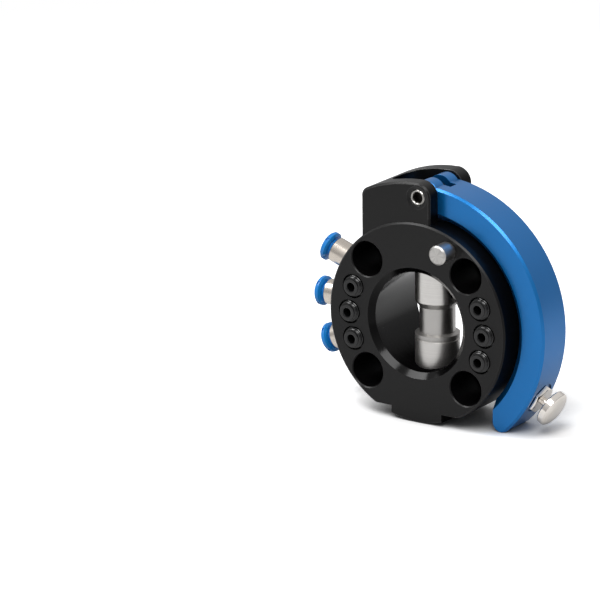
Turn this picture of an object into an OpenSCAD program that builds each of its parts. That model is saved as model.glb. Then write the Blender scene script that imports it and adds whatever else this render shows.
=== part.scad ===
// Manual tool changer for a robot arm, robot side, with lever and locking bolt.
// Millimetres. Origin: centre of the robot face. +Y points into the robot
// flange, -Y to the tool, +Z to the lever pivot, +X to the lever. The lever is
// drawn closed along the body, the index plunger pulled out and parked.

/* [Body] */
// Outside diameter of the body disc
body_diameter = 63; // [60:0.5:70]
// Thickness from coupling face to robot face
body_thickness = 25.5; // [24:0.5:30]
// Distance of the bolt and of the middle of the lever behind the coupling face
bolt_plane = 12.25; // [11.5:0.25:13]
// Chamfer on the two rims of the disc
body_chamfer = 0.5; // [0.2:0.1:1]
// Diameter of the central bore
bore_diameter = 31.5; // [28:0.1:32]
// Radial size of the lead-in chamfer on the coupling side
bore_chamfer = 1.75; // [1:0.05:2]
// Radial depth of the relief between the two bore lands
bore_relief = 0.25; // [0.1:0.05:0.5]
// Half width of the foot under the disc
foot_half_width = 9; // [8:0.5:11]
// Height of the two flats beside the foot, below the axis
flat_height = 27.5; // [26:0.25:29]

/* [Flange holes] */
// Pitch circle diameter of the four flange screws
screw_circle = 50; // [48:0.5:52]
// Diameter of the screw clearance holes
screw_hole = 6.6; // [6.2:0.1:7]
// Diameter of the counterbores
counterbore_diameter = 11; // [10:0.1:11.4]
// Material left under each screw head
screw_floor = 8; // [5:0.5:12]
// Chamfer at the counterbore rims
counterbore_chamfer = 0.35; // [0.1:0.05:0.5]
// Diameter of the locating dowel
dowel_diameter = 6; // [4:0.5:6]
// Height of the dowel above the coupling face
dowel_height = 6; // [3:0.5:8]
// Diameter of the pressed shank of the dowel
dowel_shank = 5; // [3:0.5:5]
// Relief under the shoulder of the dowel
dowel_relief = 0.1; // [0.05:0.05:0.3]
// Depth of the chamfer at the mouth of the dowel hole
dowel_mouth = 0.6; // [0.3:0.1:1]
// Depth the dowel is pressed in
dowel_depth = 8; // [5:0.5:10]
// Distance of the dowel from the main axis
dowel_radius = 27.1; // [26.5:0.1:27.4]
// Angle of the dowel above the X axis
dowel_angle = 65.2; // [62:0.2:68]
// Chamfer on the dowel ends
dowel_chamfer = 0.5; // [0.2:0.1:0.8]
// Depth of the dowel hole in the robot face
robot_dowel_depth = 5; // [3:0.5:5.5]

/* [Air ports] */
// Distance of the port centres from the main axis
port_radius = 24.2; // [23.8:0.1:24.6]
// Angle between neighbouring ports
port_pitch = 20; // [19:0.5:21]
// Diameter of the seal pockets
port_pocket = 7.7; // [7:0.1:7.8]
// Depth of the seal pockets
port_pocket_depth = 2.6; // [2:0.1:4]
// Diameter of the drilled air channels
air_channel = 2.5; // [2:0.1:3]
// Distance of the radial connections behind the coupling face
connection_depth = 14.5; // [13:0.5:15]
// Thread diameter of the radial connections
connection_thread = 5; // [4:0.5:5]
// Diameter of the spot faces under the fittings
fitting_spot = 8.8; // [8.4:0.1:9.4]
// Gap between a seal and its pocket wall
seal_gap = 0.05; // [0.02:0.01:0.1]
// Height of the seals above the coupling face
seal_height = 1.4; // [1:0.1:2]
// Diameter of the hole through each seal
seal_hole = 2.7; // [1.5:0.05:3]
// Width of the open groove round each seal
seal_groove = 0.45; // [0.2:0.05:0.6]

/* [Push-in fittings] */
// Diameter of the fitting bodies
fitting_diameter = 8; // [7.6:0.1:8.2]
// Radius from the main axis to the outer end of the fitting bodies
fitting_end = 41.3; // [39:0.1:44]
// Length of the threaded stud of each fitting
stud_length = 4.4; // [3.5:0.1:5]
// Thickness of the sealing washer under each fitting
gasket_thickness = 0.5; // [0.3:0.1:1]
// Outside diameter of the air tube the fittings take
tube_diameter = 4; // [3:0.5:4]
// Depth of the tube socket
tube_socket = 7; // [5:0.5:8]
// Running gap round the tube and round the release collar
collar_gap = 0.06; // [0.03:0.01:0.1]
// Outside diameter of the release collar
collar_diameter = 9.3; // [8:0.1:10]
// Thickness of the collar flange
collar_flange = 2; // [1:0.1:3]
// Travel of the collar when it is pushed in
collar_travel = 0.8; // [0.4:0.1:1]
// Gap left between the pushed collar and the fitting
collar_rest = 0.15; // [0.1:0.05:0.3]
// Wall thickness of the collar sleeve
collar_wall = 0.75; // [0.5:0.05:0.9]
// Length of the collar sleeve inside the fitting
collar_sleeve = 2.6; // [2:0.1:3.2]
// Wall of the fitting beside the grip ring
grip_wall = 0.7; // [0.6:0.05:0.8]
// Length of the room for the grip ring
grip_room = 1.2; // [1.1:0.05:1.4]
// Wall of the fitting beside the tube seal
seal_wall = 0.9; // [0.8:0.05:1]
// Length of the room for the tube seal
seal_room = 1; // [0.8:0.05:1.2]

/* [Port plugs] */
// Length of the port plugs
plug_length = 4.5; // [4:0.25:5]
// Set-back of the port plugs in the rim
plug_setback = 0.5; // [0.3:0.05:0.8]
// Width across the flats of the plug sockets
plug_flats = 2.5; // [2:0.1:3]
// Depth of the plug sockets
plug_depth = 2; // [1.5:0.1:2.5]

/* [Clevis] */
// Distance of the left side from the main axis
clevis_left = 20; // [18:0.5:22]
// Radius of the upper left corner
clevis_corner = 3; // [1:0.5:4]
// Radius of the rounded ear ends about the pivot
ear_radius = 4.6; // [4.2:0.1:5]
// Depth of the clevis sides inside the disc
clevis_root = 9.75; // [6:0.25:12]
// Set-back of the clevis behind both faces of the disc
clevis_setback = 0.7; // [0.3:0.1:1.5]
// Width of the slot between the ears
slot_width = 14; // [12:0.5:16]
// Height of the slot floor above the main axis
slot_floor = 28.5; // [27.5:0.25:29]
// Position of the left end of the slot
slot_left = 15; // [13:0.25:18]
// Rounding of the ear edges
ear_chamfer = 0.55; // [0.2:0.05:0.8]

/* [Lever] */
// Height of the lever pivot above the main axis
pivot_height = 39.3; // [38:0.1:42]
// Depth of the lever from its inner to its outer radius
lever_depth = 9.65; // [8.5:0.05:11]
// Gap between the lever and the rim of the disc
lever_clearance = 1; // [0.5:0.1:2]
// Set-over of the curved band towards the disc, to the left and downwards
lever_set = 0.3; // [0:0.05:0.4]
// Gap between the lever and each ear
lever_side_gap = 0.25; // [0.15:0.05:0.5]
// Radius of the lever hub about the pivot
hub_radius = 4.2; // [3.8:0.1:4.5]
// Distance of the lever tip face from the vertical centre plane
tip_distance = 24.3; // [22:0.1:26]
// Radius of the rounded tip
tip_radius = 3; // [2:0.25:4]
// Chamfer on the outer edges of the lever
lever_chamfer = 0.7; // [0.2:0.05:0.9]
// Broad chamfer on the inner edges of the lever
lever_inner_chamfer = 2; // [0.4:0.1:2.2]
// Width of the fork slot through the hub
fork_slot = 3.6; // [3:0.1:4.5]
// Radius of the disc cutter that leaves the fork slot
cutter_radius = 9.75; // [9:0.25:11]
// Distance of the cutter centre left of the pivot
cutter_offset = 3; // [2:0.25:4]
// Height of the cutter centre below the pivot
cutter_drop = 2; // [1:0.25:3]

/* [Drive] */
// Distance from the pivot to the crank pin
crank_length = 7.5; // [7:0.25:8]
// Direction of the crank pin seen from the tool side
crank_angle = 200; // [198:1:205]
// Width of the crank across its two cheeks
crank_width = 9; // [8:0.5:10]
// Radius of the crank end
crank_eye = 2.8; // [2.4:0.1:3]
// Height of the crank cheeks
crank_cheek = 5; // [4:0.25:5.4]
// Diameter of the crank pin and of the bolt pin
drive_pin = 3; // [2:0.25:3]
// Height of the bolt pin above the main axis, lever closed
bolt_pin_height = 26.5; // [26:0.25:27]
// Thickness of the link
link_thickness = 3.3; // [2.6:0.1:3.4]
// Chamfer on the ends of the crank pin and the bolt pin
pin_chamfer = 0.3; // [0.1:0.05:0.5]
// Set-back of the pin ends behind the faces they stand in
pin_setback = 0.1; // [0.05:0.05:0.3]
// Play of the bolt pin in the lower link hole
link_play = 0.9; // [0.85:0.05:1.2]
// Width of the link strap
link_width = 4.4; // [3.5:0.1:5]
// Thickness of the web between the two eyes of the link
link_web = 2.7; // [2:0.1:3]
// Wall round the lower link hole
link_wall = 1.3; // [1:0.1:1.6]
// Running gap of pins and plunger in their holes
running_gap = 0.03; // [0.01:0.01:0.06]
// Thread diameter of the pivot screws
pivot_thread = 5; // [4.5:0.5:5]
// Diameter of the plain end of the pivot screws
pivot_journal = 4; // [3.5:0.25:4.5]
// Set-back of the pivot screws in the ears
pivot_setback = 0.35; // [0.1:0.05:0.8]
// Width of the hexagon socket
pivot_socket = 3; // [2:0.5:3]
// Depth of the hexagon socket
pivot_socket_depth = 2.4; // [1.5:0.1:3]
// Radial size of the countersink round each screw
pivot_countersink = 1.1; // [0.4:0.1:1.3]

/* [Locking bolt] */
// Diameter of the lower end of the locking bolt
bolt_diameter = 13.8; // [12:0.1:14]
// Diameter of the upper end of the locking bolt
bolt_upper = 13.8; // [12:0.1:13.8]
// Running gap of the bolt in its two guides
bolt_gap = 0.05; // [0.02:0.01:0.1]
// Diameter of the neck
neck_diameter = 11.1; // [9:0.1:12]
// Diameter of the lip below the neck
lip_diameter = 13.8; // [13:0.1:14]
// Upper end of the neck above the main axis
neck_top = 2.9; // [2:0.1:6]
// Lower end of the neck below the main axis
neck_bottom = 5.2; // [3:0.1:6]
// Height of the upper cone
neck_cone = 1.8; // [0.8:0.1:2]
// Height of the lip below the neck
lip_height = 1.2; // [0.4:0.1:1.4]
// Width and depth of the fine groove under the lip
lip_groove = 0.3; // [0.2:0.05:0.5]
// Lower end of the bolt below the main axis
bolt_bottom = 22.5; // [21:0.5:23.5]
// Top of the bolt above the bolt pin
bolt_crown = 3.2; // [2.5:0.1:4]
// Depth of the fork below the bolt pin
bolt_fork = 5.4; // [5:0.1:6]
// Chamfer on the bolt ends
bolt_chamfer = 0.8; // [0.4:0.1:1.2]

/* [Index plunger] */
// Angle of the plunger below the X axis
plunger_angle = 29.5; // [28:0.5:31]
// Diameter of the threaded bush body
bush_thread = 8; // [7.5:0.25:8.5]
// Width across the flats of the bush head
bush_flats = 8.6; // [8.3:0.1:9]
// Thickness of the bush head
bush_head = 1.8; // [1.4:0.1:2.2]
// Height of the cone that bevels the corners of the bush head
bush_bevel = 2.6; // [2.2:0.1:3]
// Diameter of the spot face in the lever
bush_spot = 10.5; // [10.4:0.1:12]
// Depth of the spot face below the outer radius
bush_seat = 0.7; // [0.5:0.05:1]
// Diameter of the plunger nose
nose_diameter = 4; // [3:0.25:4.5]
// Radial gap from the body disc to the parked nose
nose_clearance = 0.5; // [0.4:0.05:0.7]
// Stroke of the plunger
plunger_stroke = 2.1; // [1.6:0.1:2.4]
// Length of the nose guide in the bush
nose_guide = 2.8; // [2:0.1:3]
// Diameter of the spring chamber
spring_chamber = 5.6; // [5.2:0.1:6]
// Diameter of the plunger stem
stem_diameter = 2.5; // [2:0.1:2.8]
// Wire diameter of the plunger spring
spring_wire = 0.45; // [0.3:0.05:0.5]
// Turns of the plunger spring
spring_turns = 3; // [2:0.5:4]
// Diameter of the knob
knob_diameter = 11.5; // [9:0.25:12]
// Length of the knob
knob_length = 3.6; // [3:0.1:5]
// Gap between the released knob and the bush head
knob_gap = 0.3; // [0.2:0.05:0.6]

/* [Hidden] */
$fn = 96;
cut = 0.01;
fine = 24;
half = 0.5;
front = -body_thickness;
mid = front + bolt_plane;
body_radius = body_diameter * half;
bore_radius = bore_diameter * half;
bolt_radius = bolt_diameter * half;
upper_radius = bolt_upper * half;
lower_guide = bolt_radius + bolt_gap;
upper_guide = upper_radius + bolt_gap;
screw_angles = [45, 135, 225, 315];
left_angles = [180 - port_pitch, 180, 180 + port_pitch];
right_angles = [port_pitch, 0, -port_pitch];
connection_y = front + connection_depth;
spot_radius = sqrt(body_radius * body_radius - fitting_spot * fitting_spot / 4) - 0.2;
connection_end = port_radius - air_channel * half;
grip_end = fitting_end - collar_sleeve - collar_travel - 0.3;
clevis_front = front + clevis_setback;
clevis_back = -clevis_setback;
ear_faces = [clevis_front, 2 * mid - clevis_back];
clevis_top = pivot_height + ear_radius;
clevis_foot = body_radius - clevis_root;
blend = 0.03;
corner_x = clevis_left - clevis_corner + blend;
corner_z = sqrt(pow(clevis_top - clevis_corner + blend, 2) - corner_x * corner_x);
beyond = 1.3;
lever_inner = body_radius + lever_clearance;
lever_outer = lever_inner + lever_depth;
lever_front = mid - slot_width * half + lever_side_gap;
lever_back = mid + slot_width * half - lever_side_gap;
tip_x = tip_distance + tip_radius;
tip_z = -sqrt(pow(lever_outer - tip_radius + blend, 2) - tip_x * tip_x);
crank_x = crank_length * cos(crank_angle);
crank_z = pivot_height + crank_length * sin(crank_angle);
bolt_pin_z = bolt_pin_height;
link_length = sqrt(pow(crank_z - bolt_pin_z, 2) + crank_x * crank_x);
link_angle = atan2(bolt_pin_z - crank_z, -crank_x);
link_eye = drive_pin * half + link_play + link_wall;
bolt_top = bolt_pin_z + bolt_crown;
fork_floor = bolt_pin_z - bolt_fork;
collar_outer = tube_diameter * half + collar_gap + collar_wall;
collar_pocket = collar_outer + collar_gap;
collar_back = fitting_end + collar_travel + collar_rest;
bush_inner = lever_inner + 0.6;
seat_radius = lever_outer - bush_seat;
head_radius = seat_radius + bush_head;
chamber_start = bush_inner + nose_guide;
chamber_end = seat_radius + 0.3;
nose_tip = body_radius + nose_clearance;
shoulder = chamber_start + plunger_stroke + 0.2;
shoulder_length = 0.8;
knob_start = head_radius + plunger_stroke + knob_gap;
lock_hole_depth = 3;

// Solid of revolution about the Y axis through (x, z).
module round_y(x, z, r, y0, y1) {
    translate([x, y0, z]) rotate([-90, 0, 0]) cylinder(r = r, h = y1 - y0);
}

// Round plate about the Y axis with equal chamfers on both rims.
module chamfered_plate(x, z, r, y0, y1, c) {
    translate([x, 0, z]) rotate([-90, 0, 0]) rotate_extrude()
        polygon([[0, y0], [r - c, y0], [r, y0 + c], [r, y1 - c], [r - c, y1], [0, y1]]);
}

// Puts a child on a radial line of the disc, local +Z outwards.
module radial(angle, y) {
    translate([0, y, 0]) rotate([0, 90 - angle, 0]) children();
}

// Bar along Z with its two left or right corners chamfered.
module chamfered_bar(x0, x1, y0, y1, z0, z1, c, side) {
    left = side < 0 ? c : 0;
    right = side > 0 ? c : 0;
    translate([0, 0, z0]) linear_extrude(z1 - z0) polygon([
        [x0 + left, y0], [x1 - right, y0], [x1, y0 + right], [x1, y1 - right],
        [x1 - right, y1], [x0 + left, y1], [x0, y1 - left], [x0, y0 + left]]);
}

// Arched clevis block before its slot is cut.
module clevis_block() {
    reach = beyond * clevis_top;
    intersection() {
        chamfered_plate(0, 0, clevis_top, clevis_front, clevis_back, ear_chamfer);
        translate([0, clevis_back, 0]) rotate([90, 0, 0]) linear_extrude(clevis_back - clevis_front)
            polygon([[0, clevis_foot], [0, reach], [-corner_x * beyond, corner_z * beyond],
                [-corner_x, corner_z], [-corner_x, clevis_foot]]);
    }
    chamfered_plate(-corner_x, corner_z, clevis_corner, clevis_front, clevis_back, ear_chamfer);
    chamfered_bar(-clevis_left, -corner_x + 1, clevis_front, clevis_back, clevis_foot, corner_z,
        ear_chamfer, -1);
    chamfered_plate(0, pivot_height, ear_radius + blend, clevis_front, clevis_back, ear_chamfer);
    chamfered_bar(-1, ear_radius, clevis_front, clevis_back, clevis_foot, pivot_height,
        ear_chamfer, 1);
}

// Milled slot between the ears with round ends.
module clevis_slot() {
    r = slot_width * half;
    h = clevis_top - slot_floor + 2;
    translate([0, mid, slot_floor]) {
        translate([-slot_left + r, 0, 0]) cylinder(r = r, h = h);
        translate([-slot_left + r, -r, 0]) cube([slot_left - r, 2 * r, h]);
        cylinder(r = r, h = h);
    }
    translate([0, mid - r, body_radius - half]) cube([2 * r, 2 * r, h]);
}

// One flange screw hole with its counterbore.
module screw_hole_cut(angle) {
    x = screw_circle * half * cos(angle);
    z = screw_circle * half * sin(angle);
    round_y(x, z, screw_hole * half, front - 1, 1);
    round_y(x, z, counterbore_diameter * half, front - 1, -screw_floor);
    translate([x, front - cut, z]) rotate([-90, 0, 0])
        cylinder(r1 = counterbore_diameter * half + counterbore_chamfer, r2 = counterbore_diameter * half,
            h = counterbore_chamfer);
}

// Pocket and air channel of one port.
module port_cut(angle) {
    x = port_radius * cos(angle);
    z = port_radius * sin(angle);
    round_y(x, z, port_pocket * half, front - 1, front + port_pocket_depth);
    round_y(x, z, air_channel * half, front, connection_y + air_channel * half);
}

// Central bore with two lands, relief and lead-in chamfers.
module bore_cut() {
    land = mid - upper_guide - bore_relief;
    rotate([-90, 0, 0]) rotate_extrude() polygon([
        [0, front - 1], [bore_radius + bore_chamfer + 1, front - 1],
        [bore_radius, front + bore_chamfer], [bore_radius, land],
        [bore_radius + bore_relief, land + bore_relief],
        [bore_radius + bore_relief, 2 * mid - land - bore_relief],
        [bore_radius, 2 * mid - land], [bore_radius, -body_chamfer],
        [bore_radius + body_chamfer + 1, 1], [0, 1]]);
}

module housing() {
    color([0.15, 0.15, 0.16]) difference() {
        union() {
            difference() {
                chamfered_plate(0, 0, body_radius, front, 0, body_chamfer);
                for (side = [-1, 1])
                    translate([side > 0 ? foot_half_width : -foot_half_width - body_radius,
                        front - 1, -flat_height - body_radius])
                        cube([body_radius, body_thickness + 2, body_radius]);
            }
            clevis_block();
        }
        bore_cut();
        clevis_slot();
        for (a = screw_angles) screw_hole_cut(a);
        for (a = left_angles) {
            port_cut(a);
            radial(a, connection_y) {
                translate([0, 0, connection_end]) cylinder(r = connection_thread * half, h = body_radius);
                translate([0, 0, spot_radius]) cylinder(r = fitting_spot * half, h = body_radius);
            }
        }
        for (a = right_angles) {
            port_cut(a);
            radial(a, connection_y) translate([0, 0, connection_end])
                cylinder(r = connection_thread * half, h = body_radius);
        }
        translate([0, mid, -body_radius - 1]) cylinder(r = lower_guide, h = body_radius + 1);
        translate([0, mid, 0]) cylinder(r = upper_guide, h = slot_floor + 1);
        round_y(dowel_radius * cos(dowel_angle), dowel_radius * sin(dowel_angle),
            dowel_shank * half, front - 1, front + dowel_depth);
        translate([dowel_radius * cos(dowel_angle), front - cut, dowel_radius * sin(dowel_angle)])
            rotate([-90, 0, 0]) cylinder(r1 = dowel_diameter * half + dowel_relief,
                r2 = dowel_shank * half, h = dowel_mouth);
        round_y(screw_circle * half, 0, dowel_diameter * half, -robot_dowel_depth, 1);
        for (s = [0, 1]) mirror([0, s, 0]) translate([0, -2 * s * mid, 0]) {
            round_y(0, pivot_height, pivot_thread * half, front - 1, mid);
            translate([0, ear_faces[s] - cut, pivot_height]) rotate([-90, 0, 0])
                cylinder(r1 = pivot_thread * half + pivot_countersink, r2 = pivot_thread * half,
                    h = pivot_countersink * half);
        }
        radial(-plunger_angle, mid) translate([0, 0, body_radius - lock_hole_depth])
            cylinder(r = nose_diameter * half + 2 * running_gap, h = lock_hole_depth + 1);
    }
}

module dowel_pin() {
    y0 = front - dowel_height;
    y1 = front + dowel_depth;
    r = dowel_diameter * half;
    s = dowel_shank * half;
    c = dowel_chamfer;
    u = dowel_relief;
    color([0.75, 0.75, 0.73]) translate([dowel_radius * cos(dowel_angle), 0, dowel_radius * sin(dowel_angle)])
        rotate([-90, 0, 0]) rotate_extrude() polygon([
            [0, y0], [r - c, y0], [r, y0 + c], [r, front - u], [r - u, front],
            [s, front], [s, y1 - c], [s - c, y1], [0, y1]]);
}

// Ribbed rubber seal at one port.
module port_seal(angle) {
    r = port_pocket * half - seal_gap;
    f = port_pocket_depth;
    e = seal_height;
    i = seal_hole * half;
    color([0.06, 0.06, 0.06]) translate([port_radius * cos(angle), front + f, port_radius * sin(angle)])
        rotate([90, 0, 0]) rotate_extrude() polygon([
            [i, 0], [r, 0], [r, f - 1.1], [r - seal_groove, f - 1], [r - seal_groove, f - 0.1],
            [r - seal_groove - 0.15, f + 0.06], [r - 0.9, f + e * 0.08], [r - 1.05, f + e * 0.18],
            [r - 1.05, f + e * 0.34], [r - 0.86, f + e * 0.44], [r - 0.82, f + e * 0.54],
            [r - 0.92, f + e * 0.62], [r - 1.18, f + e * 0.66], [r - 1.36, f + e * 0.72],
            [r - 1.34, f + e * 0.8], [r - 1.2, f + e * 0.88], [r - 1.24, f + e * 0.96], [r - 1.42, f + e],
            [i + 0.35, f + e], [i + 0.1, f + e * 0.93], [i, f + e * 0.8]]);
}
module port_seal_left_upper() { port_seal(left_angles[0]); }
module port_seal_left_middle() { port_seal(left_angles[1]); }
module port_seal_left_lower() { port_seal(left_angles[2]); }
module port_seal_right_upper() { port_seal(right_angles[0]); }
module port_seal_right_middle() { port_seal(right_angles[1]); }
module port_seal_right_lower() { port_seal(right_angles[2]); }

// Nickel plated body of one push-in fitting, stud inwards.
module fitting(angle) {
    base = spot_radius + gasket_thickness;
    stud = base - stud_length;
    t = tube_diameter * half + collar_gap;
    r = fitting_diameter * half;
    s = fitting_end - tube_socket;
    p = grip_end;
    q = grip_end - grip_room;
    color([0.8, 0.78, 0.74]) radial(angle, connection_y) rotate_extrude() polygon([
        [air_channel * half, stud], [connection_thread * half - 0.3, stud],
        [connection_thread * half, stud + 0.3], [connection_thread * half, base],
        [r, base], [r, fitting_end - 0.4], [r - 0.4, fitting_end], [collar_pocket, fitting_end],
        [collar_pocket, p], [r - grip_wall, p - 0.3], [r - grip_wall, q + 0.2], [r - seal_wall, q],
        [r - seal_wall, q - seal_room], [t, q - seal_room - 0.2], [t, s],
        [air_channel * half, s - 0.6]]);
}
module fitting_upper() { fitting(left_angles[0]); }
module fitting_middle() { fitting(left_angles[1]); }
module fitting_lower() { fitting(left_angles[2]); }

// Sealing washer between fitting and spot face.
module gasket(angle) {
    color([0.85, 0.84, 0.8]) radial(angle, connection_y) translate([0, 0, spot_radius]) difference() {
        cylinder(r = fitting_diameter * half - 0.2, h = gasket_thickness);
        translate([0, 0, -1]) cylinder(r = connection_thread * half, h = gasket_thickness + 2);
    }
}
module gasket_upper() { gasket(left_angles[0]); }
module gasket_middle() { gasket(left_angles[1]); }
module gasket_lower() { gasket(left_angles[2]); }

// Rubber ring that seals on the tube.
module tube_seal(angle) {
    q = grip_end - grip_room;
    r = fitting_diameter * half - seal_wall;
    t = tube_diameter * half;
    color([0.08, 0.08, 0.08]) radial(angle, connection_y) rotate_extrude() polygon([
        [t, q - seal_room + 0.1], [t + 0.2, q - seal_room], [r, q - seal_room],
        [r, q - 0.1], [t + 0.2, q - 0.1], [t, q - 0.2]]);
}
module tube_seal_upper() { tube_seal(left_angles[0]); }
module tube_seal_middle() { tube_seal(left_angles[1]); }
module tube_seal_lower() { tube_seal(left_angles[2]); }

// Spring steel grip ring that holds the tube.
module tube_collet(angle) {
    p = grip_end;
    q = grip_end - grip_room;
    r = fitting_diameter * half - grip_wall;
    t = tube_diameter * half + collar_gap;
    color([0.7, 0.7, 0.72]) radial(angle, connection_y) rotate_extrude() polygon([
        [t, q], [t + 0.2, q - 0.05], [r - 0.2, q + 0.45], [r, q + 0.45], [r, p - 0.5],
        [r - 0.3, p - 0.5]]);
}
module tube_collet_upper() { tube_collet(left_angles[0]); }
module tube_collet_middle() { tube_collet(left_angles[1]); }
module tube_collet_lower() { tube_collet(left_angles[2]); }

// Release collar: a sleeve in the fitting and a flange outside it.
module release_collar(angle) {
    t = tube_diameter * half + collar_gap;
    r = collar_diameter * half;
    e = collar_back + collar_flange;
    color([0.15, 0.55, 0.9]) radial(angle, connection_y) difference() {
        rotate_extrude() polygon([
            [t, fitting_end - collar_sleeve], [collar_outer - 0.3, fitting_end - collar_sleeve],
            [collar_outer, fitting_end - collar_sleeve + 0.3], [collar_outer, collar_back],
            [r - 0.7, collar_back], [r, collar_back + 0.45], [r, e - 0.5], [r - 0.5, e],
            [t + 0.5, e], [t, e - 0.5]]);
        for (a = [0, 90, 180, 270]) rotate([0, 0, a + 45])
            translate([r - 0.35, -0.5, collar_back + 0.6]) cube([1, 1, collar_flange - 1.1]);
    }
}
module release_collar_upper() { release_collar(left_angles[0]); }
module release_collar_middle() { release_collar(left_angles[1]); }
module release_collar_lower() { release_collar(left_angles[2]); }

// Socket set screw that closes an unused connection.
module port_plug(angle) {
    r = connection_thread * half;
    e = body_radius - plug_setback;
    b = e - plug_length;
    color([0.2, 0.2, 0.21]) radial(angle, connection_y) difference() {
        rotate_extrude() polygon([[0, b], [r - 0.6, b], [r, b + 0.6], [r, e - 0.4], [r - 0.4, e], [0, e]]);
        translate([0, 0, e - plug_depth]) cylinder(d = plug_flats / cos(30), h = plug_depth + 1, $fn = 6);
    }
}
module port_plug_upper() { port_plug(right_angles[0]); }
module port_plug_middle() { port_plug(right_angles[1]); }
module port_plug_lower() { port_plug(right_angles[2]); }

// Set screw in an ear; its plain inner end carries one lever cheek.
module pivot_screw(back) {
    r = pivot_thread * half;
    j = pivot_journal * half;
    y0 = ear_faces[back] + pivot_setback;
    y1 = mid - slot_width * half - lever_side_gap * half;
    y2 = mid - fork_slot * half - lever_side_gap;
    color([0.72, 0.72, 0.7]) mirror([0, back, 0]) translate([0, -2 * back * mid, pivot_height])
        rotate([-90, 0, 0]) difference() {
            rotate_extrude() polygon([[0, y0], [r - 0.3, y0], [r, y0 + 0.3], [r, y1], [j, y1],
                [j, y2 - 0.4], [j - 0.4, y2], [0, y2]]);
            translate([0, 0, y0 - 1])
                cylinder(d = pivot_socket / cos(30), h = pivot_socket_depth + 1, $fn = 6);
            translate([0, 0, y0 - cut]) cylinder(d1 = pivot_socket / cos(30) + 0.4,
                d2 = pivot_socket / cos(30) - 0.4, h = 0.4);
        }
}
module pivot_screw_front() { pivot_screw(0); }
module pivot_screw_back() { pivot_screw(1); }

// Curved band of the lever about the main axis, from hub to tip.
module lever_band() {
    c = lever_chamfer;
    d = lever_inner_chamfer;
    far = 2 * lever_outer;
    intersection() {
        rotate([-90, 0, 0]) rotate_extrude() polygon([
            [lever_inner + d, lever_front], [lever_outer - c, lever_front],
            [lever_outer, lever_front + c], [lever_outer, lever_back - c],
            [lever_outer - c, lever_back], [lever_inner + d, lever_back],
            [lever_inner, lever_back - d], [lever_inner, lever_front + d]]);
        rotate([90, 0, 0]) linear_extrude(body_thickness) union() {
            translate([tip_x, tip_z]) circle(r = tip_radius);
            polygon([[tip_distance, tip_z], [tip_x, tip_z], [tip_x * beyond, tip_z * beyond],
                [far, tip_z * beyond], [far, far], [0, far], [0, 0], [tip_distance, 0]]);
        }
    }
}

module lever() {
    color([0.1, 0.42, 0.7]) difference() {
        union() {
            translate([-lever_set, 0, -lever_set]) lever_band();
            chamfered_plate(0, pivot_height, hub_radius, lever_front, lever_back, lever_chamfer);
            round_y(crank_x, crank_z, crank_eye, mid - crank_width * half, mid + crank_width * half);
            translate([0, mid, pivot_height]) rotate([0, -crank_angle, 0])
                translate([0, -crank_width * half, -crank_cheek * half])
                    cube([crank_length - drive_pin * 0.6, crank_width, crank_cheek]);
        }
        round_y(-cutter_offset, pivot_height - cutter_drop, cutter_radius,
            mid - fork_slot * half, mid + fork_slot * half);
        round_y(0, pivot_height, pivot_journal * half + running_gap, front, 0);
        round_y(crank_x, crank_z, drive_pin * half, front, 0);
        radial(-plunger_angle, mid) {
            translate([0, 0, lever_inner - 1]) cylinder(r = bush_thread * half, h = lever_outer);
            translate([0, 0, seat_radius]) cylinder(r = bush_spot * half, h = lever_outer);
        }
    }
}

module crank_pin() {
    w = crank_width * half - pin_setback;
    color([0.6, 0.6, 0.6]) chamfered_plate(crank_x, crank_z, drive_pin * half, mid - w, mid + w, pin_chamfer);
}

// Threaded bush with a hexagon head, spring chamber inside.
module plunger_bush() {
    r = bush_thread * half;
    g = nose_diameter * half + running_gap;
    ch = spring_chamber * half;
    s = stem_diameter * half + 2 * running_gap;
    color([0.8, 0.79, 0.76]) radial(-plunger_angle, mid) difference() {
        union() {
            rotate_extrude() polygon([[0, bush_inner], [r - 0.5, bush_inner], [r, bush_inner + 0.5],
                [r, seat_radius], [0, seat_radius]]);
            intersection() {
                translate([0, 0, seat_radius])
                    cylinder(d = bush_flats / cos(30), h = bush_head, $fn = 6);
                rotate_extrude() polygon([[0, seat_radius], [bush_flats, seat_radius],
                    [bush_flats, head_radius - bush_bevel],
                    [bush_flats * half - 0.1, head_radius], [0, head_radius]]);
            }
        }
        rotate_extrude() polygon([[0, bush_inner - 1], [g, bush_inner - 1], [g, chamber_start],
            [ch, chamber_start], [ch, chamber_end], [s, chamber_end], [s, head_radius + 1],
            [0, head_radius + 1]]);
    }
}

module plunger_spring() {
    coil = (spring_chamber + stem_diameter) * 0.25;
    rest = shoulder + shoulder_length;
    length = chamber_end - rest - spring_wire;
    color([0.65, 0.65, 0.66]) radial(-plunger_angle, mid) translate([0, 0, rest + half * spring_wire])
        linear_extrude(height = length, twist = -360 * spring_turns, slices = spring_turns * fine, $fn = 8)
            translate([coil, 0]) circle(d = 2 * spring_wire, $fn = 8);
}

module plunger_pin() {
    r = nose_diameter * half;
    f = spring_chamber * half - 2 * running_gap;
    s = stem_diameter * half;
    color([0.75, 0.75, 0.74]) radial(-plunger_angle, mid) rotate_extrude() polygon([
        [0, nose_tip], [r - 0.5, nose_tip], [r, nose_tip + 0.5], [r, shoulder], [f, shoulder],
        [f, shoulder + shoulder_length], [s, shoulder + shoulder_length],
        [s, knob_start + knob_length - 1.2], [0, knob_start + knob_length - 1.2]]);
}

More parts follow.
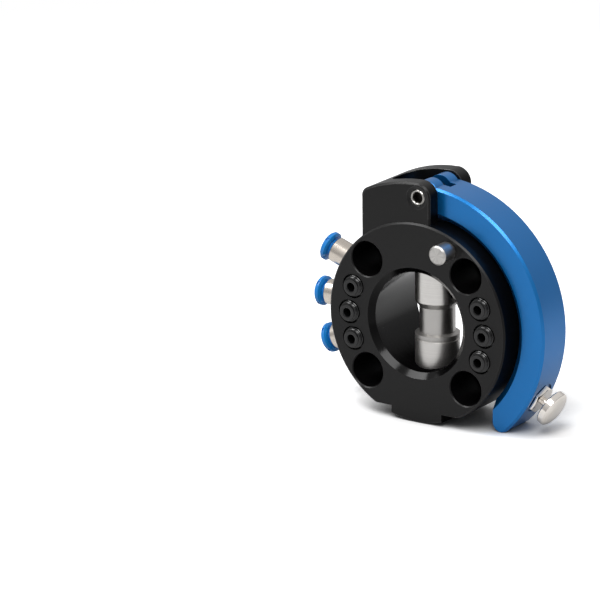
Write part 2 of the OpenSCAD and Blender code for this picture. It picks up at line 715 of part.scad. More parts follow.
module plunger_knob() {
    r = knob_diameter * half;
    l = knob_length;
    s = stem_diameter * half;
    color([0.82, 0.8, 0.76]) radial(-plunger_angle, mid) translate([0, 0, knob_start])
        rotate_extrude() polygon([[s, 0.3], [r * 0.55, 0.3], [r * 0.8, 0], [r - 0.35, 0], [r, 0.35],
            [r, l * 0.56], [r - 0.12, l * 0.6], [r * 0.9, l * 0.71], [r * 0.76, l * 0.83],
            [r * 0.58, l * 0.93], [r * 0.36, l * 0.985], [0, l], [0, l - 1.2], [s, l - 1.2]]);
}

module drive_link() {
    t = link_thickness * half;
    color([0.35, 0.35, 0.37]) difference() {
        union() {
            round_y(crank_x, crank_z, crank_eye, mid - t, mid + t);
            round_y(0, bolt_pin_z, link_eye, mid - t, mid + t);
            translate([crank_x, mid, crank_z]) rotate([0, -link_angle, 0])
                translate([drive_pin * half + 0.1, -link_web * half, -link_width * half])
                    cube([link_length - drive_pin - link_play - 0.35, link_web, link_width]);
        }
        round_y(crank_x, crank_z, drive_pin * half + running_gap, front, 0);
        round_y(0, bolt_pin_z, drive_pin * half + link_play, front, 0);
    }
}

module locking_bolt() {
    r = bolt_radius;
    u = upper_radius;
    w = lip_diameter * half;
    n = neck_diameter * half;
    g = lip_groove;
    c = bolt_chamfer;
    lip = -neck_bottom - (w - n) * 0.3;
    color([0.72, 0.71, 0.69]) difference() {
        translate([0, mid, 0]) rotate_extrude() polygon([
            [0, -bolt_bottom], [r - c, -bolt_bottom], [r, -bolt_bottom + c],
            [r, lip - lip_height - 2 * g], [r - g, lip - lip_height - 2 * g],
            [r - g, lip - lip_height], [w - 0.1, lip - lip_height], [w, lip - lip_height + 0.1], [w, lip],
            [n, -neck_bottom], [n, neck_top], [u, neck_top + neck_cone], [u, bolt_top - c],
            [u - c, bolt_top], [0, bolt_top]]);
        translate([-bolt_diameter, mid - fork_slot * half, fork_floor])
            cube([2 * bolt_diameter, fork_slot, bolt_top]);
        round_y(0, bolt_pin_z, drive_pin * half, front, 0);
    }
}

module bolt_pin() {
    w = sqrt(upper_radius * upper_radius - drive_pin * drive_pin / 4) - pin_chamfer;
    color([0.6, 0.6, 0.6]) chamfered_plate(0, bolt_pin_z, drive_pin * half, mid - w, mid + w, pin_chamfer);
}

housing();
dowel_pin();
port_seal_left_upper();
port_seal_left_middle();
port_seal_left_lower();
port_seal_right_upper();
port_seal_right_middle();
port_seal_right_lower();
fitting_upper();
fitting_middle();
fitting_lower();
gasket_upper();
gasket_middle();
gasket_lower();
tube_seal_upper();
tube_seal_middle();
tube_seal_lower();
tube_collet_upper();
tube_collet_middle();
tube_collet_lower();
release_collar_upper();
release_collar_middle();
release_collar_lower();
port_plug_upper();
port_plug_middle();
port_plug_lower();
pivot_screw_front();
pivot_screw_back();
lever();
crank_pin();
plunger_bush();
plunger_spring();
plunger_pin();
plunger_knob();
drive_link();
locking_bolt();
bolt_pin();
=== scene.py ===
"""Dress for the manual tool changer: finishes, small turned details, studio.

The file follows the changer as it is put together: the black body first, then
what is pressed or screwed into it, the lever with its plunger, the drive, and
last the table, the lamps and the camera. Everything is in metres. The robot
face lies in the plane y = 0, the tool side looks along -Y, the lever is at +X.
"""
import bpy
import numpy as np
from mathutils import Matrix, Vector


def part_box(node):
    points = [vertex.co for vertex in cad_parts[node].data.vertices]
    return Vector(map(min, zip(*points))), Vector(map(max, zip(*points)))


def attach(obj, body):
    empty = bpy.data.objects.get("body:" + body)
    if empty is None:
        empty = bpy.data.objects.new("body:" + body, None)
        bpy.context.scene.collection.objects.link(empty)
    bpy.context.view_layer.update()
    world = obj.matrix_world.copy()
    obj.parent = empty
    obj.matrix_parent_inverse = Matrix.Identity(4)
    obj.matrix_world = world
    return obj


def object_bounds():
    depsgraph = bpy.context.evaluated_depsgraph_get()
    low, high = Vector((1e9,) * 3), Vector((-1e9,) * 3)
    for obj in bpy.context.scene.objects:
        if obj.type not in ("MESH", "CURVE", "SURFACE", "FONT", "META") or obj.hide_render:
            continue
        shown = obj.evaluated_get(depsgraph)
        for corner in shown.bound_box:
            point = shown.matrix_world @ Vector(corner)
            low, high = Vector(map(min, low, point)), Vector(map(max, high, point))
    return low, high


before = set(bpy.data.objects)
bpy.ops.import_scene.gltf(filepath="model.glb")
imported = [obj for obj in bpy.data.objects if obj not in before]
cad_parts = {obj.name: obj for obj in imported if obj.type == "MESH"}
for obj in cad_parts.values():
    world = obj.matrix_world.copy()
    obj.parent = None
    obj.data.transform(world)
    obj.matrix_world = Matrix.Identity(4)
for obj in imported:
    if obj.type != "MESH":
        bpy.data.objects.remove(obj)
cad_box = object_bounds()
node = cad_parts

# ------------------------------------------------------------------ body
# One block of aluminium: turned disc with its bore, milled clevis and foot,
# then fine blasted and black anodised. Rims are painted lighter, partly for the
# thinner layer on every edge and partly as a painted highlight of their gleam,
# and the lead-in of the bore still shows the lathe.

BLACK_LAYER = (0.0016, 0.0015, 0.0016, 1)
# Edge colour: partly the thinner layer, partly painted highlight.
BLACK_EDGE_WEAR_AND_GLINT = (0.055, 0.054, 0.055, 1)


def add(tree, kind, **values):
    """Adds one shader node; values name its properties or its sockets."""
    made = tree.nodes.new("ShaderNode" + kind)
    for name, value in values.items():
        if hasattr(made, name):
            setattr(made, name, value)
        else:
            made.inputs[name.replace("_", " ")].default_value = value
    return made


def join(tree, start, end):
    """Links an output socket to an input socket."""
    tree.links.new(start, end)


def sums(tree, operation, first, second=None, third=None):
    """One Math node fed by sockets or plain numbers, its output returned."""
    made = add(tree, "Math", operation=operation)
    for socket, value in zip(made.inputs, (first, second, third)):
        if isinstance(value, (int, float)):
            socket.default_value = value
        elif value is not None:
            join(tree, value, socket)
    return made.outputs[0]


def vectors(tree, operation, first, second=None):
    """One Vector Math node fed by sockets, its outputs returned."""
    made = add(tree, "VectorMath", operation=operation)
    join(tree, first, made.inputs[0])
    if second is not None:
        join(tree, second, made.inputs["Scale" if operation == "SCALE" else 1])
    return made.outputs


def ramped(tree, value, low, high):
    """Smooth mask of a value: 0 at low, 1 at high."""
    made = add(tree, "MapRange", interpolation_type="SMOOTHSTEP", clamp=True, From_Min=low, From_Max=high)
    join(tree, value, made.inputs["Value"])
    return made.outputs["Result"]


def spot(tree):
    """The place on the piece, in the frame that all pieces share."""
    return add(tree, "TexCoord").outputs["Object"]


def effect(name, inputs, outputs):
    """A named node group with its sockets: lists of (name, type, default)."""
    group = bpy.data.node_groups.new(name, "ShaderNodeTree")
    for title, kind, default in inputs:
        socket = group.interface.new_socket(title, in_out="INPUT", socket_type="NodeSocket" + kind)
        socket.default_value = default
    for title, kind in outputs:
        group.interface.new_socket(title, in_out="OUTPUT", socket_type="NodeSocket" + kind)
    return group, group.nodes.new("NodeGroupInput").outputs, group.nodes.new("NodeGroupOutput").inputs


def place(tree, group, **values):
    """Puts a node group into a material with its own values."""
    made = tree.nodes.new("ShaderNodeGroup")
    made.node_tree = group
    for name, value in values.items():
        made.inputs[name.replace("_", " ")].default_value = value
    return made.outputs


# Blasted skin: two sizes of noise, a fine one for the pits and a broad one
# for the faint clouds that dye and handling leave.
blasted_skin, ask, give = effect(
    "blasted skin", [("Pit Size", "Float", 0.00012), ("Cloud Size", "Float", 0.012)],
    [("Pits", "Float"), ("Clouds", "Float")])
here = spot(blasted_skin)
for size, mask, octaves, harsh in (("Pit Size", "Pits", 2.0, 0.6), ("Cloud Size", "Clouds", 3.0, 0.55)):
    grain = add(blasted_skin, "TexNoise", Detail=octaves, Roughness=harsh)
    join(blasted_skin, here, grain.inputs["Vector"])
    join(blasted_skin, sums(blasted_skin, "DIVIDE", 1.0, ask[size]), grain.inputs["Scale"])
    join(blasted_skin, grain.outputs["Fac"], give[mask])

# Lathe marks round an axis: noise along one line, the sum of the place along
# the axis and the distance from it, so it rings end faces and barrels alike.
# A second noise runs round the axis and stays the same along it.
lathe_marks, ask, give = effect(
    "lathe marks", [("Centre", "Vector", (0, 0, 0)), ("Axis", "Vector", (0, 1, 0)),
                    ("Pitch", "Float", 0.00025)],
    [("Rings", "Float"), ("Around", "Float")])
away = vectors(lathe_marks, "SUBTRACT", spot(lathe_marks), ask["Centre"])["Vector"]
along = vectors(lathe_marks, "DOT_PRODUCT", away, ask["Axis"])["Value"]
lift = vectors(lathe_marks, "SCALE", ask["Axis"], along)["Vector"]
flat = vectors(lathe_marks, "SUBTRACT", away, lift)["Vector"]
line = sums(lathe_marks, "ADD", along, vectors(lathe_marks, "LENGTH", flat)["Value"])
rings = add(lathe_marks, "TexNoise", noise_dimensions="1D", Scale=1.0, Detail=2.0, Roughness=0.7)
join(lathe_marks, sums(lathe_marks, "DIVIDE", line, ask["Pitch"]), rings.inputs["W"])
around = add(lathe_marks, "TexNoise", Scale=2.2, Detail=2.0, Roughness=0.6)
join(lathe_marks, vectors(lathe_marks, "NORMALIZE", flat)["Vector"], around.inputs["Vector"])
join(lathe_marks, rings.outputs["Fac"], give["Rings"])
join(lathe_marks, around.outputs["Fac"], give["Around"])

# Thin edges: how far the normal turns within a small radius tells an edge
# from a face; broken up with noise so the lighter line along edges, wear on
# some finishes and painted highlight on others, is never even.
FACE_TURN, EDGE_TURN = 0.995, 0.86
thin_edges, ask, give = effect(
    "thin edges", [("Width", "Float", 0.0003), ("Strength", "Float", 1.0)],
    [("Mask", "Float"), ("Normal", "Vector")])
soft = add(thin_edges, "Bevel", samples=4)
join(thin_edges, ask["Width"], soft.inputs["Radius"])
turn = vectors(thin_edges, "DOT_PRODUCT", soft.outputs["Normal"],
               add(thin_edges, "NewGeometry").outputs["Normal"])["Value"]
broken = add(thin_edges, "TexNoise", Scale=900.0, Detail=3.0)
join(thin_edges, spot(thin_edges), broken.inputs["Vector"])
worn = sums(thin_edges, "MULTIPLY", ramped(thin_edges, turn, FACE_TURN, EDGE_TURN),
            sums(thin_edges, "MULTIPLY_ADD", broken.outputs["Fac"], 1.2, 0.1))
join(thin_edges, sums(thin_edges, "MULTIPLY", worn, ask["Strength"]), give["Mask"])
join(thin_edges, soft.outputs["Normal"], give["Normal"])


def finish_for(title):
    """A new material with its Principled shader: (material, tree, shader)."""
    made = bpy.data.materials.new(title)
    made.use_nodes = True
    return made, made.node_tree, made.node_tree.nodes["Principled BSDF"]


def scaled(colour, by):
    """The same colour, lighter or darker."""
    return tuple(by * part for part in colour[:3]) + (1,)


def mixed(tree, share, first, second):
    """Colour between two colours or sockets, by a mask."""
    made = add(tree, "Mix", data_type="RGBA")
    join(tree, share, made.inputs[0])
    for socket, value in ((made.inputs[6], first), (made.inputs[7], second)):
        if isinstance(value, tuple):
            socket.default_value = value
        else:
            join(tree, value, socket)
    return made.outputs[2]


def spread(tree, value, low, high):
    """Stretches a 0 to 1 mask between two numbers."""
    return sums(tree, "MULTIPLY_ADD", value, high - low, low)


def relief(tree, shader, height, depth, base=None):
    """Turns a height mask into a bump of the given depth in metres."""
    made = add(tree, "Bump", Strength=1.0, Distance=depth)
    join(tree, height, made.inputs["Height"])
    if base is not None:
        join(tree, base, made.inputs["Normal"])
    join(tree, made.outputs["Normal"], shader.inputs["Normal"])


def dress(material, *names):
    """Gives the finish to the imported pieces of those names."""
    for name in names:
        for held in node[name].material_slots:
            held.material = material


def parted(tree, vector):
    """The X, Y and Z of a vector as three sockets."""
    made = add(tree, "SeparateXYZ")
    join(tree, vector, made.inputs[0])
    return made.outputs


def within(tree, radius, x=0.0, z=0.0, fold=False):
    """Mask of what lies nearer than radius to a line along Y through (x, z)."""
    parts = parted(tree, spot(tree))
    across, up = parts["X"], parts["Z"]
    if fold:
        across, up = sums(tree, "ABSOLUTE", across), sums(tree, "ABSOLUTE", up)
    across, up = sums(tree, "SUBTRACT", across, x), sums(tree, "SUBTRACT", up, z)
    far = sums(tree, "SQRT", sums(tree, "ADD", sums(tree, "MULTIPLY", across, across),
                                  sums(tree, "MULTIPLY", up, up)))
    return sums(tree, "LESS_THAN", far, radius)


# The bore and its lead-in are turned finer than the faces, so they gleam more;
# the four deep screw pockets take up more dye and stay dull, and so do the
# faces that look at the lever.
BORE_ZONE, LEAD_ZONE, POCKET, POCKET_ZONE, CLEVIS_FROM = 0.01577, 0.01758, 0.0176777, 0.0054, 0.0332
FACE_SHINE, LEAD_SHINE, POCKET_SHINE, LEVER_SIDE_SHINE, EDGE_SHINE = 0.32, -0.11, -0.32, -0.24, 1.6
BORE_SHINE, BORE_RING_SHINE, BORE_SHINE_PER_METRE = 0.04, 0.30, 30.0
RIM_WIDTH, CLEVIS_RIM_MORE = 0.00008, 0.00034
LEAD_SMOOTHER, EDGE_SMOOTHER = -0.22, -0.12

black, tree, shader = finish_for("black_anodised")
shader.inputs["Metallic"].default_value = 0.0
shader.inputs["IOR"].default_value = 1.48
in_bore = within(tree, BORE_ZONE)
in_lead = within(tree, LEAD_ZONE)
in_pocket = within(tree, POCKET_ZONE, POCKET, POCKET, fold=True)
marks = place(tree, lathe_marks, Centre=(0, 0, 0), Axis=(0, 1, 0), Pitch=0.0002)
skin = place(tree, blasted_skin, Pit_Size=0.00016, Cloud_Size=0.009)
height = parted(tree, spot(tree))["Z"]
beside = ramped(tree, parted(tree, add(tree, "NewGeometry").outputs["Normal"])["X"], 0.45, 1.0)
to_lever = sums(tree, "MULTIPLY", beside,
                sums(tree, "MULTIPLY_ADD", in_bore, -LEVER_SIDE_SHINE, LEVER_SIDE_SHINE))
streaks = sums(tree, "MULTIPLY_ADD", height, BORE_SHINE_PER_METRE,
               sums(tree, "MULTIPLY_ADD", marks["Rings"], BORE_RING_SHINE, BORE_SHINE))
buffed = sums(tree, "MULTIPLY", in_bore, streaks)
shine = sums(tree, "MULTIPLY_ADD", in_lead, LEAD_SHINE, FACE_SHINE)
shine = sums(tree, "ADD", to_lever, sums(tree, "ADD", buffed, shine))
edges = place(tree, thin_edges, Strength=0.8)
# On the clevis the edge band is widened over the chamfers, so the painted edge highlight covers them.
on_clevis = sums(tree, "GREATER_THAN", height, CLEVIS_FROM)
join(tree, sums(tree, "MULTIPLY_ADD", on_clevis, CLEVIS_RIM_MORE, RIM_WIDTH),
     edges["Mask"].node.inputs["Width"])
shine = sums(tree, "MULTIPLY_ADD", edges["Mask"], EDGE_SHINE, shine)
join(tree, sums(tree, "MULTIPLY_ADD", in_pocket, POCKET_SHINE, shine), shader.inputs["Specular IOR Level"])
tone = mixed(tree, skin["Clouds"], BLACK_LAYER, scaled(BLACK_LAYER, 1.5))
# Edges take the lighter colour: partly thinner layer, partly painted highlight.
join(tree, mixed(tree, edges["Mask"], tone, BLACK_EDGE_WEAR_AND_GLINT), shader.inputs["Base Color"])
rough = sums(tree, "ADD", spread(tree, skin["Clouds"], 0.30, 0.40),
             spread(tree, marks["Around"], -0.04, 0.04))
rough = sums(tree, "MULTIPLY_ADD", in_lead, LEAD_SMOOTHER, rough)
join(tree, sums(tree, "MULTIPLY_ADD", edges["Mask"], EDGE_SMOOTHER, rough), shader.inputs["Roughness"])
relief(tree, shader, sums(tree, "ADD", skin["Pits"], marks["Rings"]), 0.0000035, edges["Normal"])
dress(black, "housing")

# The finished wall of the bore: one smooth skin between the two lands, cut
# away where the guide hole of the bolt crosses it.
WALL_RADIUS, WALL_HALF, GUIDE_RADIUS, BOLT_PLANE = 0.015745, 0.0072, 0.00697, -0.01325
ROWS, COLUMNS = 72, 56
along_bore = -WALL_HALF * np.cos(np.linspace(0, np.pi, ROWS))
hole_half = np.sqrt(np.maximum(GUIDE_RADIUS ** 2 - along_bore ** 2, 0))
reach = np.arccos(hole_half / WALL_RADIUS)[:, None]
turn_by = -reach + 2 * reach * np.linspace(0, 1, COLUMNS)[None, :]
points = np.stack([WALL_RADIUS * np.cos(turn_by), np.repeat(along_bore[:, None] + BOLT_PLANE, COLUMNS, 1),
                   WALL_RADIUS * np.sin(turn_by)], -1).reshape(-1, 3)
corner = (np.arange(ROWS - 1)[:, None] * COLUMNS + np.arange(COLUMNS - 1)[None, :]).reshape(-1)
quads = np.stack([corner, corner + 1, corner + COLUMNS + 1, corner + COLUMNS], -1)
points = np.concatenate([points, points * (-1, 1, -1)])
quads = np.concatenate([quads, quads + ROWS * COLUMNS])
wall = bpy.data.meshes.new("bore_wall")
wall.from_pydata(points.tolist(), [], quads.tolist())
wall.polygons.foreach_set("use_smooth", np.ones(len(wall.polygons), dtype=bool))
wall.materials.append(black)
bore_wall = bpy.data.objects.new("bore_wall", wall)
bpy.context.scene.collection.objects.link(bore_wall)
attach(bore_wall, "housing")

# ------------------------------------------------------------------ dowel
# Hardened pin, ground on the barrel and faced on the end, pressed into the
# coupling face. The end face keeps the rings of the facing cut.

STEEL = (0.60, 0.585, 0.565, 1)
dowel_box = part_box("dowel_pin")
dowel_line = (dowel_box[0] + dowel_box[1]) / 2

ground, tree, shader = finish_for("ground_steel")
shader.inputs["Metallic"].default_value = 1.0
marks = place(tree, lathe_marks, Centre=(dowel_line[0], 0, dowel_line[2]), Axis=(0, 1, 0), Pitch=0.00018)
skin = place(tree, blasted_skin, Pit_Size=0.0002, Cloud_Size=0.004)
tone = mixed(tree, marks["Rings"], scaled(STEEL, 0.86), STEEL)
# Sectors round the axis are painted darker: painted shade between the bright sectors of a turned face's
# highlight.
join(tree, mixed(tree, ramped(tree, marks["Around"], 0.28, 0.66), scaled(STEEL, 0.72), tone),
     shader.inputs["Base Color"])
join(tree, spread(tree, skin["Clouds"], 0.32, 0.44), shader.inputs["Roughness"])
relief(tree, shader, marks["Rings"], 0.0000060, place(tree, thin_edges, Width=0.0001)["Normal"])
dress(ground, "dowel_pin")

# ------------------------------------------------------------------ port seals
# Moulded rubber cups with one rib and a lip, slipped into the pockets of the
# coupling face. Smooth, slightly oily black. Each of the three levels of air
# ports has a fitting at the angle given here.

LEVELS = {"upper": 160, "middle": 180, "lower": 200}


def satin(title, colour, rough, pit_size, cloud_size, depth, metallic=0.0):
    """A finish of one colour, with roughness in clouds and pits in relief."""
    made, tree, shader = finish_for(title)
    shader.inputs["Base Color"].default_value = colour
    shader.inputs["Metallic"].default_value = metallic
    skin = place(tree, blasted_skin, Pit_Size=pit_size, Cloud_Size=cloud_size)
    join(tree, spread(tree, skin["Clouds"], *rough), shader.inputs["Roughness"])
    relief(tree, shader, skin["Pits"], depth)
    return made


rubber = satin("seal_rubber", (0.004, 0.004, 0.0043, 1), rough=(0.12, 0.24),
               pit_size=0.00035, cloud_size=0.002, depth=0.000002)
for level in LEVELS:
    dress(rubber, f"port_seal_left_{level}", f"port_seal_right_{level}", f"tube_seal_{level}")

# ------------------------------------------------------------------ fittings
# Three push-in fittings: nickel-plated turned brass, a plastic washer under
# each, a steel grip ring inside and a blue moulded release collar outside.

NICKEL = (0.72, 0.655, 0.585, 1)
COLLAR_BLUE = (0.010, 0.255, 0.74, 1)
FITTING_PLANE = -0.0110


def way_at(angle):
    """Unit vector at an angle in degrees above +X, in the plane of the disc."""
    return (float(np.cos(np.radians(angle))), 0.0, float(np.sin(np.radians(angle))))


def plated(title, tone, centre, axis, pitch=0.00022, depth=0.0000014, rough=(0.22, 0.33)):
    """Nickel plate over turned brass, with rings about the given axis."""
    made, tree, shader = finish_for(title)
    shader.inputs["Metallic"].default_value = 1.0
    marks = place(tree, lathe_marks, Centre=centre, Axis=axis, Pitch=pitch)
    skin = place(tree, blasted_skin, Pit_Size=0.0004, Cloud_Size=0.003)
    band = sums(tree, "MULTIPLY_ADD", marks["Rings"], 0.7, sums(tree, "MULTIPLY", skin["Clouds"], 0.3))
    join(tree, mixed(tree, band, scaled(tone, 0.78), tone), shader.inputs["Base Color"])
    join(tree, spread(tree, skin["Clouds"], *rough), shader.inputs["Roughness"])
    relief(tree, shader, marks["Rings"], depth, place(tree, thin_edges, Width=0.00008)["Normal"])
    return made


collar_blue, tree, shader = finish_for("collar_plastic")
skin = place(tree, blasted_skin, Pit_Size=0.0003, Cloud_Size=0.003)
join(tree, mixed(tree, skin["Clouds"], scaled(COLLAR_BLUE, 0.86), COLLAR_BLUE), shader.inputs["Base Color"])
join(tree, spread(tree, skin["Clouds"], 0.22, 0.34), shader.inputs["Roughness"])
relief(tree, shader, skin["Pits"], 0.000003, place(tree, thin_edges, Width=0.00018)["Normal"])

washer_white = satin("gasket_plastic", (0.68, 0.66, 0.60, 1), rough=(0.40, 0.55),
                     pit_size=0.0002, cloud_size=0.002, depth=0.000003)
bright_spring = satin("spring_steel", (0.50, 0.50, 0.51, 1), rough=(0.20, 0.35),
                      pit_size=0.0001, cloud_size=0.001, depth=0.000002, metallic=1.0)

for level, angle in LEVELS.items():
    dress(plated("nickel_" + level, NICKEL, (0, FITTING_PLANE, 0), way_at(angle)), f"fitting_{level}")
    dress(collar_blue, f"release_collar_{level}")
    dress(washer_white, f"gasket_{level}")
    dress(bright_spring, f"tube_collet_{level}")

# ------------------------------------------------------------------ port plugs
# Socket set screws in black oxide that close the drillings on the lever side.
# The strap link of the drive has the same finish.

oxide, tree, shader = finish_for("dark_steel")
shader.inputs["Metallic"].default_value = 0.9
skin = place(tree, blasted_skin, Pit_Size=0.0002, Cloud_Size=0.003)
edges = place(tree, thin_edges, Width=0.00012, Strength=1.0)
tone = mixed(tree, skin["Clouds"], (0.030, 0.030, 0.033, 1), (0.060, 0.058, 0.060, 1))
join(tree, mixed(tree, edges["Mask"], tone, (0.22, 0.215, 0.21, 1)), shader.inputs["Base Color"])
join(tree, spread(tree, skin["Clouds"], 0.30, 0.46), shader.inputs["Roughness"])
relief(tree, shader, skin["Pits"], 0.000003, edges["Normal"])
dress(oxide, "drive_link", *[f"port_plug_{level}" for level in LEVELS])

# ------------------------------------------------------------------ pivot screws
# Bright stainless screws with a hexagon socket, one in each ear; the plain
# ends inside carry the lever. The sockets are painted darker, down to their
# floor, as the shade inside them.

SOCKET, SOCKET_MARGIN = 0.00176, 0.0001
screw_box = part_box("pivot_screw_front")
pivot_line = (screw_box[0] + screw_box[1]) / 2
lever_plane = float(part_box("lever")[0][1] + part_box("lever")[1][1]) / 2
head_depth = lever_plane - float(screw_box[0][1])
stainless, tree, shader = finish_for("stainless")
shader.inputs["Metallic"].default_value = 1.0
marks = place(tree, lathe_marks, Centre=(pivot_line[0], 0, pivot_line[2]), Axis=(0, 1, 0), Pitch=0.0002)
skin = place(tree, blasted_skin, Pit_Size=0.0002, Cloud_Size=0.002)
off_plane = sums(tree, "ABSOLUTE", sums(tree, "SUBTRACT", parted(tree, spot(tree))["Y"], lever_plane))
in_socket = sums(tree, "MULTIPLY", within(tree, SOCKET, float(pivot_line[0]), float(pivot_line[2])),
                 sums(tree, "LESS_THAN", off_plane, head_depth - SOCKET_MARGIN))
tone = mixed(tree, skin["Clouds"], (0.30, 0.29, 0.275, 1), (0.46, 0.45, 0.43, 1))
# Painted shade: the socket takes a dark colour.
join(tree, mixed(tree, in_socket, tone, (0.045, 0.042, 0.038, 1)), shader.inputs["Base Color"])
join(tree, sums(tree, "MULTIPLY_ADD", in_socket, 0.25, spread(tree, skin["Clouds"], 0.20, 0.32)),
     shader.inputs["Roughness"])
relief(tree, shader, marks["Rings"], 0.000003)
dress(stainless, "pivot_screw_front", "pivot_screw_back")

# ------------------------------------------------------------------ lever
# Milled from aluminium plate and blue anodised over a fine satin blast. The
# clear dyed layer acts as a coat over the metal; in crevices its colour is
# painted darker as shade.

LEVER_BLUE = (0.001, 0.180, 0.53, 1)
LEVER_CREVICE_SHADE = (0.001, 0.030, 0.11, 1)
LEVER_EDGE = (0.004, 0.20, 0.52, 1)
blue, tree, shader = finish_for("blue_anodised")
shader.inputs["Metallic"].default_value = 0.72
shader.inputs["Coat Weight"].default_value = 0.36
shader.inputs["Coat Roughness"].default_value = 0.17
skin = place(tree, blasted_skin, Pit_Size=0.00014, Cloud_Size=0.010)
edges = place(tree, thin_edges, Width=0.0002, Strength=0.6)
open_sky = add(tree, "AmbientOcclusion", samples=8, only_local=True, Distance=0.0045)
tone = mixed(tree, skin["Clouds"], scaled(LEVER_BLUE, 0.90), LEVER_BLUE)
# Painted shade: the colour darkens where ambient occlusion finds the lever's own faces close.
tone = mixed(tree, sums(tree, "POWER", open_sky.outputs["AO"], 2.4), LEVER_CREVICE_SHADE, tone)
join(tree, mixed(tree, edges["Mask"], tone, LEVER_EDGE), shader.inputs["Base Color"])
join(tree, spread(tree, skin["Clouds"], 0.30, 0.38), shader.inputs["Roughness"])
relief(tree, shader, skin["Pits"], 0.0000035, edges["Normal"])
dress(blue, "lever")

# ------------------------------------------------------------------ index plunger
# Nickel-plated bush screwed into the lever, a spring in it, and the plunger
# with its crowned knob, parked in the pulled position. Polished, so it is
# smoother than the fittings, and its nickel is painted brighter than theirs as
# a painted reflection of the pale table.

KNOB_NICKEL_WITH_PAINTED_SHEEN = (0.98, 0.925, 0.86, 1)
PLUNGER_ANGLE = -29.5
dress(plated("nickel_plunger", KNOB_NICKEL_WITH_PAINTED_SHEEN, (0, BOLT_PLANE, 0), way_at(PLUNGER_ANGLE),
             pitch=0.0003, depth=0.0000020, rough=(0.08, 0.17)),
      "plunger_bush", "plunger_pin", "plunger_knob")
dress(bright_spring, "plunger_spring")

# ------------------------------------------------------------------ drive
# Ground steel: the locking bolt across the bore, its pin and the crank pin.
# The bolt's neck is only turned, so it is rougher than the ground guides, and
# its colour is painted darker there as the shade it sits in between guide and
# lip. Its lip is rubbed matt by the coupling stud, and its colour is darker there.

NECK_FROM, NECK_TO, LIP_FROM, LIP_TO = -0.0052, 0.0047, -0.0072, -0.0050
BELOW_ROUGHER, NECK_ROUGHER, LIP_ROUGHER = 0.10, 0.05, 0.18


def between(tree, value, low, high):
    """Mask of where a value lies between two numbers."""
    return sums(tree, "MULTIPLY", sums(tree, "GREATER_THAN", value, low),
                sums(tree, "LESS_THAN", value, high))


bolt_steel, tree, shader = finish_for("bolt_steel")
shader.inputs["Metallic"].default_value = 1.0
marks = place(tree, lathe_marks, Centre=(0, BOLT_PLANE, 0), Axis=(0, 0, 1), Pitch=0.00035)
skin = place(tree, blasted_skin, Pit_Size=0.0003, Cloud_Size=0.005)
height = parted(tree, spot(tree))["Z"]
in_neck = between(tree, height, NECK_FROM, NECK_TO)
on_lip = between(tree, height, LIP_FROM, LIP_TO)
below = sums(tree, "LESS_THAN", height, LIP_FROM)
band = sums(tree, "MULTIPLY_ADD", marks["Rings"], 0.6, sums(tree, "MULTIPLY", skin["Clouds"], 0.4))
tone = mixed(tree, band, scaled(STEEL, 0.82), scaled(STEEL, 1.38))
# The lip's colour is set darker.
tone = mixed(tree, on_lip, tone, scaled(STEEL, 0.80))
# Painted shade: the neck's colour is darker, for the recess it sits in.
join(tree, mixed(tree, in_neck, tone, scaled(STEEL, 0.78)), shader.inputs["Base Color"])
rough = sums(tree, "MULTIPLY_ADD", below, BELOW_ROUGHER, spread(tree, skin["Clouds"], 0.24, 0.36))
rough = sums(tree, "MULTIPLY_ADD", in_neck, NECK_ROUGHER, rough)
join(tree, sums(tree, "MULTIPLY_ADD", on_lip, LIP_ROUGHER, rough), shader.inputs["Roughness"])
relief(tree, shader, marks["Rings"], 0.000006, place(tree, thin_edges, Width=0.00015)["Normal"])
dress(bolt_steel, "locking_bolt", "crank_pin", "bolt_pin")

# ------------------------------------------------------------------ table
# A white sheet, slightly glossy, running out of sight on every side. It keeps
# the changer's shadow close by, deepened there with painted shadow, and fades
# to plain white further off. What is seen of it is white; as a thing that
# lights the changer it is mid grey.

TABLE_TOP = float(cad_box[0][2])
TABLE_HALF = 4.0
FADE_FROM, FADE_TO = 0.20, 0.60
TABLE_IN_METAL = 0.31
sheet = bpy.data.meshes.new("table_sheet")
corners = ((-1, -1), (1, -1), (1, 1), (-1, 1))
sheet.from_pydata([(TABLE_HALF * x, TABLE_HALF * y, TABLE_TOP) for x, y in corners], [], [(0, 1, 2, 3)])
table = bpy.data.objects.new("table_sheet", sheet)
bpy.context.scene.collection.objects.link(table)
white, tree, shader = finish_for("table_white")
shader.inputs["Base Color"].default_value = (0.46, 0.46, 0.46, 1)
shader.inputs["Roughness"].default_value = 0.40
bright = add(tree, "BsdfDiffuse")
painted_contact_shadow = add(tree, "AmbientOcclusion", samples=8, Distance=0.012).outputs["AO"]
# Painted shadow: the sheet's seen colour darkens where ambient occlusion finds the changer close.
join(tree, mixed(tree, painted_contact_shadow, (0.30, 0.30, 0.30, 1), (1.55, 1.55, 1.55, 1)), bright.inputs["Color"])
gloss = add(tree, "BsdfGlossy", Color=(0.04, 0.04, 0.04, 1), Roughness=0.16)
seen = add(tree, "AddShader")
join(tree, bright.outputs[0], seen.inputs[0])
join(tree, gloss.outputs[0], seen.inputs[1])
fade = add(tree, "MixShader")
join(tree, ramped(tree, vectors(tree, "LENGTH", spot(tree))["Value"], FADE_FROM, FADE_TO), fade.inputs[0])
join(tree, seen.outputs[0], fade.inputs[1])
join(tree, add(tree, "Emission").outputs[0], fade.inputs[2])
pick = add(tree, "MixShader")
rays = add(tree, "LightPath").outputs
join(tree, sums(tree, "MULTIPLY_ADD", rays["Is Glossy Ray"], TABLE_IN_METAL, rays["Is Camera Ray"]),
     pick.inputs[0])
join(tree, shader.outputs["BSDF"], pick.inputs[1])
join(tree, fade.outputs[0], pick.inputs[2])
join(tree, pick.outputs[0], tree.nodes["Material Output"].inputs["Surface"])
sheet.materials.append(white)

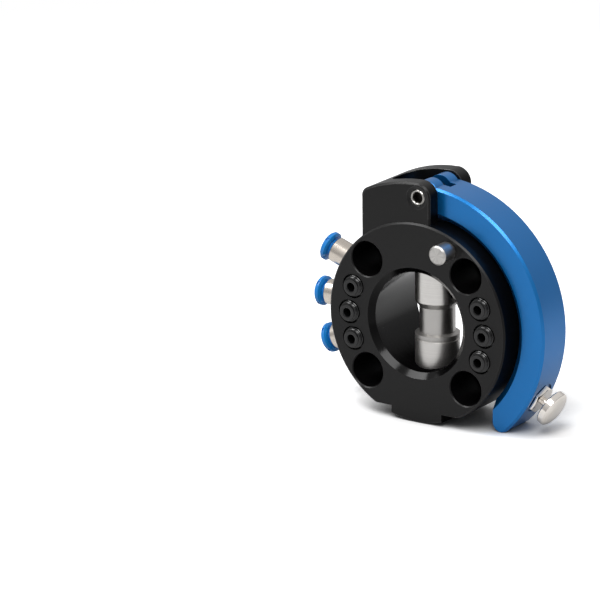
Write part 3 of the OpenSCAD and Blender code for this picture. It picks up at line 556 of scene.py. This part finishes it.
# ------------------------------------------------------------------ light
# Two soft boxes overhead, a low fill from the left, and a pale room that is
# darker near the horizon, as a studio is. Behind the changer the room is
# white, and metal shows a part of that white too.

ROOM_TONES = ((0.50, (0.20, 0.20, 0.21, 1)), (0.60, (0.24, 0.24, 0.25, 1)), (0.80, (0.55, 0.55, 0.55, 1)))
ROOM_IN_METAL = 0.30
AIM_AT = (0, -0.013, 0)
OVERHEAD = {"distance": 0.9, "width": 0.38, "height": 0.40, "power": 3.3}

world = bpy.data.worlds.new("studio")
bpy.context.scene.world = world
world.use_nodes = True
tree = world.node_tree
room = tree.nodes["Background"]
room.inputs["Strength"].default_value = 1.0
ramp = add(tree, "ValToRGB")
upward = parted(tree, add(tree, "TexCoord").outputs["Generated"])["Z"]
join(tree, sums(tree, "MULTIPLY_ADD", upward, 0.5, 0.5), ramp.inputs["Fac"])
stops = ramp.color_ramp.elements
stops.new(ROOM_TONES[1][0])
for stop, (position, tone) in zip(stops, ROOM_TONES):
    stop.position, stop.color = position, tone
rays = add(tree, "LightPath").outputs
white_view = sums(tree, "MULTIPLY_ADD", rays["Is Glossy Ray"], ROOM_IN_METAL,
                  sums(tree, "MAXIMUM", rays["Is Camera Ray"], rays["Is Transmission Ray"]))
join(tree, mixed(tree, white_view, ramp.outputs["Color"], (1, 1, 1, 1)), room.inputs["Color"])


def soft_box(title, way, distance, width, height, power):
    """A rectangular lamp that looks at the changer from a given direction."""
    made = bpy.data.lights.new(title, "AREA")
    made.shape, made.size, made.size_y, made.energy = "RECTANGLE", width, height, power
    held = bpy.data.objects.new(title, made)
    bpy.context.scene.collection.objects.link(held)
    toward = Vector(way).normalized()
    held.matrix_world = (Matrix.Translation(Vector(AIM_AT) + toward * distance)
                         @ toward.to_track_quat("Z", "Y").to_matrix().to_4x4())


soft_box("overhead_right", (0.28, -0.58, 0.77), **OVERHEAD)
soft_box("overhead_left", (-0.50, -0.32, 0.81), **OVERHEAD)
soft_box("fill_left", (-0.95, -0.25, 0.35), distance=1.1, width=0.5, height=0.4, power=0.45)

# ------------------------------------------------------------------ camera
# A long lens from the tool side, right of the axis and a little above it,
# with a slight roll.

CAMERA_AT = (0.62925, -0.99649, 0.35879)
CAMERA_TURN, CAMERA_DOWN, CAMERA_ROLL = 34.676, 16.873, -0.735

lens = bpy.data.cameras.new("camera")
lens.lens, lens.sensor_width = 240.0, 36.0
lens.clip_start, lens.clip_end = 0.05, 20.0
camera = bpy.data.objects.new("camera", lens)
bpy.context.scene.collection.objects.link(camera)
camera.matrix_world = (Matrix.Translation(CAMERA_AT)
                       @ Matrix.Rotation(np.radians(CAMERA_TURN), 4, "Z")
                       @ Matrix.Rotation(np.radians(90 - CAMERA_DOWN), 4, "X")
                       @ Matrix.Rotation(np.radians(CAMERA_ROLL), 4, "Z"))
bpy.context.scene.camera = camera
bpy.context.scene.view_settings.view_transform = "Standard"
